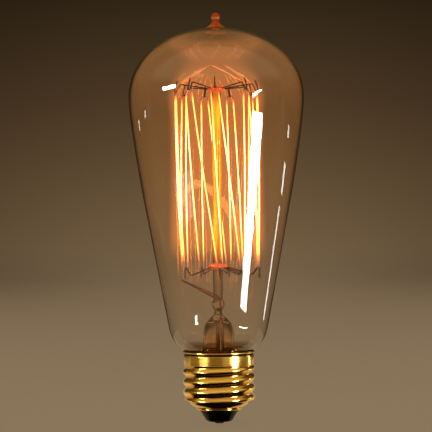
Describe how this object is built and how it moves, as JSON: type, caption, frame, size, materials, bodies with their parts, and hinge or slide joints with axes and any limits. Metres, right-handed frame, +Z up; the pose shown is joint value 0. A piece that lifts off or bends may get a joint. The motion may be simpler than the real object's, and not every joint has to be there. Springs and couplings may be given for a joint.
{
  "type": "filament bulb",
  "caption": "Amber glass filament bulb with a squirrel-cage filament on wire hooks, a pinched glass stem, a pointed seal-off tip and a brass screw cap.",
  "frame": {"origin": "the lowest point of the centre contact's solder, on the lamp's axis", "axes": "+Z runs up the lamp's axis to the glass tip, -Y is the front that faces the viewer, +X is the viewer's right"},
  "size_m": [0.0638, 0.0638, 0.1493],
  "materials": {
    "bulb_glass": "clear amber, polished",
    "stem_glass": "clear, fire polished",
    "bead_glass": "clear, lit red by the filament",
    "hook_wire": "dark, oxidised",
    "filament_carbon": "glowing carbon thread",
    "lead_wire": "dark, oxidised",
    "seal_wire": "copper-sheathed",
    "outer_wire": "dull copper",
    "cap_brass": "bright rolled sheet",
    "black_glass": "black glass, glossy",
    "solder": "dull tinned",
    "cement": "matt basing cement"
  },
  "bodies": {
    "root": {"basing_cement": "cement", "bulb_envelope": "bulb_glass", "contact_eyelet": "cap_brass", "contact_solder": "solder", "exhaust_tube": "stem_glass", "filament": "filament_carbon", "glass_tip": "bulb_glass", "inner_lead_front": "lead_wire", "inner_lead_rear": "lead_wire", "insulator": "black_glass", "lower_bead": "bead_glass", "lower_hook_1": "hook_wire", "lower_hook_2": "hook_wire", "lower_hook_3": "hook_wire", "lower_hook_4": "hook_wire", "lower_hook_5": "hook_wire", "lower_hook_6": "hook_wire", "lower_hook_7": "hook_wire", "lower_hook_8": "hook_wire", "outer_lead_centre": "outer_wire", "outer_lead_side": "outer_wire", "screw_shell": "cap_brass", "seal_wire_front": "seal_wire", "seal_wire_rear": "seal_wire", "side_solder": "solder", "stem_flare": "stem_glass", "stem_press": "stem_glass", "support_rod": "stem_glass", "upper_bead": "bead_glass", "upper_hook_1": "hook_wire", "upper_hook_2": "hook_wire", "upper_hook_3": "hook_wire", "upper_hook_4": "hook_wire", "upper_hook_5": "hook_wire", "upper_hook_6": "hook_wire", "upper_hook_7": "hook_wire", "upper_hook_8": "hook_wire", "upper_hook_9": "hook_wire", "weld_bead_front": "seal_wire", "weld_bead_rear": "seal_wire"}
  },
  "joints": []
}
